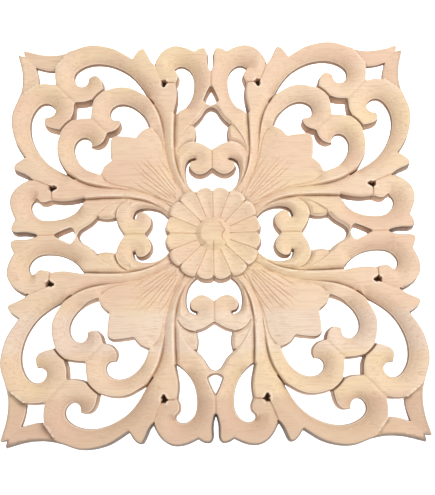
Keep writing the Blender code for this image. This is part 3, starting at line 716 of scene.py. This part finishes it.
# The painted shadow along the outer edge is full at the bottom, weaker at the sides and none at the top
painted_edge_shadow *= np.where(-z > np.abs(x), 1.0, np.where(z > np.abs(x), 0.0, EDGE_SHADOW_AT_SIDES))
radius = np.hypot(x, z)
bearing = np.degrees(np.arctan2(x, z))
top_edge = np.interp(bearing, *zip(*EYE_TOP_EDGE))
slope = np.clip((radius - top_edge) / (EYE_FOOT_RADIUS - top_edge), 0.0, 1.0)
eye = EYE_HEIGHT - (EYE_HEIGHT - EYE_FOOT_HEIGHT) * slope
eye -= EYE_HOLLOW * np.clip(1.0 - radius / top_edge, 0.0, 1.0)
broken = np.clip((bearing - EYE_BROKEN_FROM) / EYE_BROKEN_EASE, 0.0, 1.0)
broken *= np.clip((EYE_BROKEN_TO - bearing) / EYE_BROKEN_EASE, 0.0, 1.0)
stepped_down = np.clip((radius - top_edge) / EYE_CRACK_WIDTH, 0.0, 1.0) * (1.0 - slope)
crack = np.clip(1.0 - np.abs(radius - top_edge) / EYE_CRACK_WIDTH, 0.0, 1.0)
eye -= broken * (EYE_BROKEN_STEP * stepped_down + EYE_CRACK_DEPTH * crack)
for notch_bearing, start, depth in EYE_NOTCHES:
    turned = (bearing - notch_bearing + 180.0) % 360.0 - 180.0
    aside = np.abs(np.radians(turned)) * radius
    beyond_start = np.clip((radius - start) / NOTCH_EASE, 0.0, 1.0)
    eye -= depth * np.clip(1.0 - aside / NOTCH_WIDTH, 0.0, 1.0) * beyond_start
in_eye = (radius < EYE_FOOT_RADIUS) & (height > WALL_FOOT)
height = np.where(in_eye, eye, height)
face_level = np.where(in_eye, eye, face_level)

# No two passes of the gouge are alike: the face ripples and the lines wander by a fraction of a millimetre.
# The rates are per millimetre, and each pattern is a level cut through the noise
HAND_SEED = 4
HAND_RIPPLE = 0.10
HAND_WANDER = 0.22
RIPPLE_RATE, RIPPLE_LEVEL = 0.11, 1.7
FINE_RIPPLE_RATE, FINE_RIPPLE_LEVEL = 0.3, 5.2
FINE_RIPPLE_SHARE = 0.5
WANDER_RATE, WANDER_LEVEL = 0.035, 9.1
RIPPLED_ABOVE = 2.0
OFF_BACK = 0.01

noise.seed_set(HAND_SEED)
carved = height > OFF_BACK
ripple = np.array([
    noise.noise(Vector((px * RIPPLE_RATE, pz * RIPPLE_RATE, RIPPLE_LEVEL)))
    + FINE_RIPPLE_SHARE
    * noise.noise(Vector((px * FINE_RIPPLE_RATE, pz * FINE_RIPPLE_RATE, FINE_RIPPLE_LEVEL)))
    for px, pz in zip(x, z)
])
height = np.where(carved & (height > RIPPLED_ABOVE), height + HAND_RIPPLE * ripple, height)
wander = np.array([
    noise.noise_vector(Vector((px * WANDER_RATE, pz * WANDER_RATE, WANDER_LEVEL))) for px, pz in zip(x, z)
])
points = np.column_stack([x + HAND_WANDER * wander[:, 0], -height, z + HAND_WANDER * wander[:, 1]])

# Where the face is lower or higher than what lies round it, for the painted shade in the hollows and the
# painted
# highlights on the ridges: the face's level is smoothed over a few turns for the ridges, and over more for
# the hollows
RIDGE_TURNS = 3
HOLLOW_TURNS = 10

edges = np.vstack([faces[:, [0, 1]], faces[:, [1, 2]], faces[:, [2, 0]]])
edges = np.unique(np.sort(edges, axis=1), axis=0)
edges = edges[carved[edges].all(axis=1)]
neighbours = np.maximum(np.bincount(edges.ravel(), minlength=len(height)), 1)
level = face_level.copy()
for smoothing in range(HOLLOW_TURNS):
    total = np.bincount(edges[:, 0], level[edges[:, 1]], len(level))
    total += np.bincount(edges[:, 1], level[edges[:, 0]], len(level))
    level = 0.5 * level + 0.5 * total / neighbours
    if smoothing == RIDGE_TURNS - 1:
        ridge = np.where(carved, face_level - level, 0.0)
hollow = np.where(carved, level - face_level, 0.0)

# How steep each facet is, for the sawn walls and the sides of the cuts, from how level it lies; their browner
# colour is partly the cut wood and partly painted shade
STEEP_BELOW = 0.5
STEEP_FADE = 0.3

corners = points[faces]
facing = np.cross(corners[:, 1] - corners[:, 0], corners[:, 2] - corners[:, 0])
level_share = np.abs(facing[:, 1]) / np.maximum(np.linalg.norm(facing, axis=1), NO_AREA)
steep = np.clip((STEEP_BELOW - level_share) / STEEP_FADE, 0.0, 1.0)

# The mesh, in metres, with what the wood needs to know of the carving
MM = 0.001
SHARP_ANGLE = 19.0

mesh = bpy.data.meshes.new("carved_panel")
mesh.from_pydata((points * MM).tolist(), [], faces.tolist())
steep_attribute = mesh.attributes.new("steep", "FLOAT", "FACE")
steep_attribute.data.foreach_set("value", steep.astype(np.float32))
for name, values in (("near_arris", near_arris), ("hollow", hollow), ("ridge", ridge), ("painted_edge_shadow", painted_edge_shadow)):
    attribute = mesh.attributes.new(name, "FLOAT", "POINT")
    attribute.data.foreach_set("value", values.astype(np.float32))
mesh.shade_smooth()
mesh.set_sharp_from_angle(angle=math.radians(SHARP_ANGLE))
mesh.validate()
panel = bpy.data.objects.new("carved_panel", mesh)
bpy.context.scene.collection.objects.link(panel)
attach(panel, "root")
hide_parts("carved_applique")

# The wood: rubberwood, planed, sawn out and carved, then left bare. It is matt and pale, cream with pinkish
# stretches. The grain runs level across the panel, with pores that show as short brown dashes. The sawn walls
# and the sides of the cuts are browner, partly the cut wood and partly painted shade; the deep cuts get
# painted shade.


def linear(hex_colour):
    """An sRGB colour written as RRGGBB, as linear red, green, blue and alpha."""
    parts = [int(hex_colour[i : i + 2], 16) / 255.0 for i in (0, 2, 4)]
    return (*(c / 12.92 if c <= 0.04045 else ((c + 0.055) / 1.055) ** 2.4 for c in parts), 1.0)


def add(tree, kind, settings=None, **links):
    """A new node, with its properties and input values set and its inputs linked, by name or by number.

    Inputs that share a name go by number, which a link writes after an i: a mix has its colours at 6 and 7.
    """
    node = tree.nodes.new(kind)
    for name, value in (settings or {}).items():
        if isinstance(name, int) or name in node.inputs:
            node.inputs[name].default_value = value
        else:
            setattr(node, name, value)
    for name, source in links.items():
        tree.links.new(source, node.inputs[int(name[1:]) if name[1:].isdigit() else name])
    return node


wood = bpy.data.materials.new("bare_rubberwood")
wood.use_nodes = True
tree = wood.node_tree
shader = tree.nodes["Principled BSDF"]

CREAM = "E7CCAF"
PINKISH = "E4C2A7"
HONEY = "E8CEA8"
LOW_STRIP = "C9A690"
PALE_STRIP = "E9D9CC"
STREAK = "D0A988"
PORE = "BC9272"
ARRIS_HIGHLIGHT = "FBECD9"
SAWN_AND_SHADE = "C8A182"
SCORCH_AND_SHADE = "7C573C"
HOLLOW_SHADE = "62401F"
EDGE_SHADOW = "6A5A4F"

LOW_STRIP_TOP = -0.115
LOW_STRIP_BLUR = 0.003
LOW_STRIP_SHARE = 0.5
PALE_STRIP_MIDDLE = -0.071
PALE_STRIP_REACH = 0.017
PALE_STRIP_CORE = 0.012
PALE_STRIP_SHARE = 0.4

# Object coordinates are in metres, so the scales are in turns per metre, and fewer along X, with the grain
place = add(tree, "ShaderNodeTexCoord").outputs["Object"]
broad = add(tree, "ShaderNodeMapping", {"Scale": (9.0, 40.0, 40.0)}, Vector=place).outputs[0]
tone = add(
    tree, "ShaderNodeTexNoise", {"Scale": 1.0, "Detail": 3.0, "Roughness": 0.55}, Vector=broad
).outputs[0]
tone_range = add(tree, "ShaderNodeMapRange", {"From Min": 0.36, "From Max": 0.64}, Value=tone).outputs[0]
patch = add(
    tree, "ShaderNodeMapping", {"Scale": (16.0, 22.0, 22.0), "Location": (3.1, 0.7, 5.3)}, Vector=place
).outputs[0]
patch_noise = add(tree, "ShaderNodeTexNoise", {"Scale": 1.0, "Detail": 2.0}, Vector=patch).outputs[0]
patch_range = add(
    tree, "ShaderNodeMapRange", {"From Min": 0.45, "From Max": 0.68}, Value=patch_noise
).outputs[0]
ground = add(
    tree, "ShaderNodeMix", {"data_type": "RGBA", 6: linear(CREAM), 7: linear(PINKISH)}, Factor=tone_range
).outputs[2]
ground = add(
    tree, "ShaderNodeMix", {"data_type": "RGBA", 7: linear(HONEY)}, Factor=patch_range, i6=ground
).outputs[2]

# Level bands across the board: the lowest is darker and pinker, and one above it is paler
level_z = add(tree, "ShaderNodeSeparateXYZ", Vector=place).outputs["Z"]
low_strip_range = {
    "From Min": LOW_STRIP_TOP + LOW_STRIP_BLUR,
    "From Max": LOW_STRIP_TOP - LOW_STRIP_BLUR,
    "To Max": LOW_STRIP_SHARE,
}
low_strip = add(tree, "ShaderNodeMapRange", low_strip_range, Value=level_z)
strip_colours = {"data_type": "RGBA", 7: linear(LOW_STRIP)}
ground = add(tree, "ShaderNodeMix", strip_colours, Factor=low_strip.outputs[0], i6=ground).outputs[2]
from_pale = add(
    tree, "ShaderNodeMath", {"operation": "SUBTRACT", 1: PALE_STRIP_MIDDLE}, i0=level_z
).outputs[0]
from_pale = add(tree, "ShaderNodeMath", {"operation": "ABSOLUTE"}, i0=from_pale).outputs[0]
pale_strip_range = {
    "From Min": PALE_STRIP_REACH, "From Max": PALE_STRIP_CORE, "To Max": PALE_STRIP_SHARE,
}
pale_strip = add(tree, "ShaderNodeMapRange", pale_strip_range, Value=from_pale).outputs[0]
ground = add(
    tree, "ShaderNodeMix", {"data_type": "RGBA", 7: linear(PALE_STRIP)}, Factor=pale_strip, i6=ground
).outputs[2]

# Grain lines about 1 mm apart and pores 5 to 10 mm long
fibres = add(tree, "ShaderNodeMapping", {"Scale": (40.0, 1000.0, 1000.0)}, Vector=place).outputs[0]
fibre = add(
    tree, "ShaderNodeTexNoise", {"Scale": 1.0, "Detail": 2.0, "Roughness": 0.6}, Vector=fibres
).outputs[0]
fibre_range = add(
    tree, "ShaderNodeMapRange", {"From Min": 0.47, "From Max": 0.74, "To Max": 0.55}, Value=fibre
).outputs[0]
ground = add(
    tree, "ShaderNodeMix", {"data_type": "RGBA", 7: linear(STREAK)}, Factor=fibre_range, i6=ground
).outputs[2]
dashes = add(tree, "ShaderNodeMapping", {"Scale": (95.0, 1200.0, 1200.0)}, Vector=place).outputs[0]
dash = add(tree, "ShaderNodeTexNoise", {"Scale": 1.0, "Detail": 0.0}, Vector=dashes).outputs[0]
pore = add(
    tree, "ShaderNodeMapRange", {"From Min": 0.66, "From Max": 0.8, "To Max": 0.3}, Value=dash
).outputs[0]
ground = add(
    tree, "ShaderNodeMix", {"data_type": "RGBA", 7: linear(PORE)}, Factor=pore, i6=ground
).outputs[2]

# The painted highlights along the edges and ridges, the sawn walls browned partly with painted shade, the
# painted shade in the hollows and the painted shadow along the outer edge come from the carving itself, one
# over the other
relief = add(tree, "ShaderNodeAttribute", {"attribute_name": "hollow"}).outputs["Fac"]
arris_closeness = add(tree, "ShaderNodeAttribute", {"attribute_name": "near_arris"}).outputs["Fac"]
# Painted highlight: the chamfers along the arrises are lightened
arris_highlight = add(
    tree, "ShaderNodeMapRange", {"From Min": 0.1, "From Max": 0.9, "To Max": 0.5}, Value=arris_closeness
).outputs[0]
ground = add(
    tree, "ShaderNodeMix", {"data_type": "RGBA", 7: linear(ARRIS_HIGHLIGHT)}, Factor=arris_highlight, i6=ground
).outputs[2]
# Painted highlight: the ridges are lightened
ridge_highlight = add(tree, "ShaderNodeAttribute", {"attribute_name": "ridge"}).outputs["Fac"]
ridge_highlight = add(
    tree, "ShaderNodeMapRange", {"From Min": 0.15, "From Max": 0.45, "To Max": 0.38}, Value=ridge_highlight
).outputs[0]
ground = add(
    tree, "ShaderNodeMix", {"data_type": "RGBA", 7: linear(ARRIS_HIGHLIGHT)}, Factor=ridge_highlight, i6=ground
).outputs[2]
# Painted shade: the walls are darkest just under the arris, with some saw burn
scorch_and_shade = add(
    tree, "ShaderNodeMapRange", {"From Min": 0.4, "From Max": 0.9, "To Max": 0.85}, Value=arris_closeness
).outputs[0]
side = add(
    tree, "ShaderNodeMix", {"data_type": "RGBA", 6: linear(SAWN_AND_SHADE), 7: linear(SCORCH_AND_SHADE)}, Factor=scorch_and_shade
).outputs[2]
# Steep facets are painted browner: partly the sawn and cut wood, partly painted shade
sawn_and_shade = add(tree, "ShaderNodeAttribute", {"attribute_name": "steep"}).outputs["Fac"]
sawn_and_shade = add(
    tree, "ShaderNodeMapRange", {"From Min": 0.0, "From Max": 1.0, "To Max": 0.95}, Value=sawn_and_shade
).outputs[0]
ground = add(tree, "ShaderNodeMix", {"data_type": "RGBA"}, Factor=sawn_and_shade, i6=ground, i7=side).outputs[2]
# Painted shade: the hollows and deep cuts are darkened
hollow_shade = add(
    tree, "ShaderNodeMapRange", {"From Min": 0.45, "From Max": 2.6, "To Max": 0.9}, Value=relief
).outputs[0]
ground = add(
    tree, "ShaderNodeMix", {"data_type": "RGBA", 7: linear(HOLLOW_SHADE)}, Factor=hollow_shade, i6=ground
).outputs[2]
# Painted shadow: the outer edge is greyed
outer = add(tree, "ShaderNodeAttribute", {"attribute_name": "painted_edge_shadow"}).outputs["Fac"]
outer = add(
    tree, "ShaderNodeMapRange", {"From Min": 0.0, "From Max": 1.0, "To Max": 0.85}, Value=outer
).outputs[0]
ground = add(
    tree, "ShaderNodeMix", {"data_type": "RGBA", 7: linear(EDGE_SHADOW)}, Factor=outer, i6=ground
).outputs[2]

# The surface is matt, with fibres that stand a little proud and pores that are sunk
PORE_RELIEF = -0.7

tree.links.new(ground, shader.inputs["Base Color"])
shader.inputs["Roughness"].default_value = 0.62
shader.inputs["Specular IOR Level"].default_value = 0.35
height_mix = add(
    tree, "ShaderNodeMath", {"operation": "MULTIPLY_ADD", 1: PORE_RELIEF}, i0=pore, i2=fibre
).outputs[0]
bump = add(tree, "ShaderNodeBump", {"Strength": 0.25, "Distance": 0.0004}, Height=height_mix).outputs[0]
tree.links.new(bump, shader.inputs["Normal"])
mesh.materials.append(wood)

# The set: a white sweep far behind and below the panel, so that no shadow falls in view, under an even
# white world, with a soft key light above on the right and a wash over the sweep. Sizes are in metres
SWEEP_WHITE = "F7F7F7"
SWEEP_SIDE = 4.0
SWEEP_FRONT = -3.0
SWEEP_BACK = 1.6
SWEEP_FLOOR = -0.6
SWEEP_TOP = 3.4
WORLD_STRENGTH = 0.578

stage_white = bpy.data.materials.new("matt_white_sweep")
stage_white.use_nodes = True
stage_white.node_tree.nodes["Principled BSDF"].inputs["Base Color"].default_value = linear(SWEEP_WHITE)
stage_white.node_tree.nodes["Principled BSDF"].inputs["Roughness"].default_value = 0.9


def flat_sheet(name, corners):
    sheet = bpy.data.meshes.new(name)
    sheet.from_pydata(corners, [], [(0, 1, 2, 3)])
    sheet.materials.append(stage_white)
    piece = bpy.data.objects.new(name, sheet)
    bpy.context.scene.collection.objects.link(piece)


front_left, front_right = (-SWEEP_SIDE, SWEEP_FRONT, SWEEP_FLOOR), (SWEEP_SIDE, SWEEP_FRONT, SWEEP_FLOOR)
back_left, back_right = (-SWEEP_SIDE, SWEEP_BACK, SWEEP_FLOOR), (SWEEP_SIDE, SWEEP_BACK, SWEEP_FLOOR)
top_left, top_right = (-SWEEP_SIDE, SWEEP_BACK, SWEEP_TOP), (SWEEP_SIDE, SWEEP_BACK, SWEEP_TOP)
flat_sheet("floor", [front_left, front_right, back_right, back_left])
flat_sheet("backdrop", [back_left, back_right, top_right, top_left])

world = bpy.data.worlds.new("studio")
bpy.context.scene.world = world
world.use_nodes = True
world.node_tree.nodes["Background"].inputs["Color"].default_value = (1.0, 1.0, 1.0, 1.0)
world.node_tree.nodes["Background"].inputs["Strength"].default_value = WORLD_STRENGTH


def softbox(name, place, aim, width, height, power, spread=180.0):
    lamp = bpy.data.lights.new(name, "AREA")
    lamp.shape = "RECTANGLE"
    lamp.size, lamp.size_y, lamp.energy = width, height, power
    lamp.spread = math.radians(spread)
    piece = bpy.data.objects.new(name, lamp)
    piece.location = place
    piece.rotation_euler = (Vector(aim) - Vector(place)).to_track_quat("-Z", "Y").to_euler()
    bpy.context.scene.collection.objects.link(piece)


softbox(
    "key_above_right", place=(0.62, -1.15, 0.55), aim=(0.0, 0.0, 0.0), width=0.6, height=0.6, power=11.5
)
softbox(
    "backdrop_wash", place=(0.0, 0.75, 2.2), aim=(0.0, SWEEP_BACK, 0.4), width=3.0, height=0.4, power=42.0,
    spread=70.0,
)

# The camera stands below the middle of the panel and looks up at it, as the photograph's does. Its focal
# length is in pixels of the photograph, whose longer side is its height, and its turns are in radians
SENSOR = 36.0
FOCAL_PIXELS = 742.4
PICTURE_HEIGHT = 495.0
CAMERA_PLACE = (0.0008, -0.5274, -0.1275)
LOOK_UP = 0.2217
LEAN = 0.0165
LOOK_ASIDE = -0.0004

camera = bpy.data.objects.new("camera", bpy.data.cameras.new("camera"))
camera.data.sensor_width = SENSOR
camera.data.lens = FOCAL_PIXELS * SENSOR / PICTURE_HEIGHT
camera.data.clip_start = 0.05
turn = Matrix.Rotation(LOOK_ASIDE, 3, "Z") @ Matrix.Rotation(LEAN, 3, "Y") @ Matrix.Rotation(LOOK_UP, 3, "X")
level_view = Matrix(((1.0, 0.0, 0.0), (0.0, 0.0, -1.0), (0.0, 1.0, 0.0)))
camera.matrix_world = Matrix.Translation(CAMERA_PLACE) @ (turn @ level_view).to_4x4()
bpy.context.scene.collection.objects.link(camera)
bpy.context.scene.camera = camera
bpy.context.scene.view_settings.view_transform = "Standard"
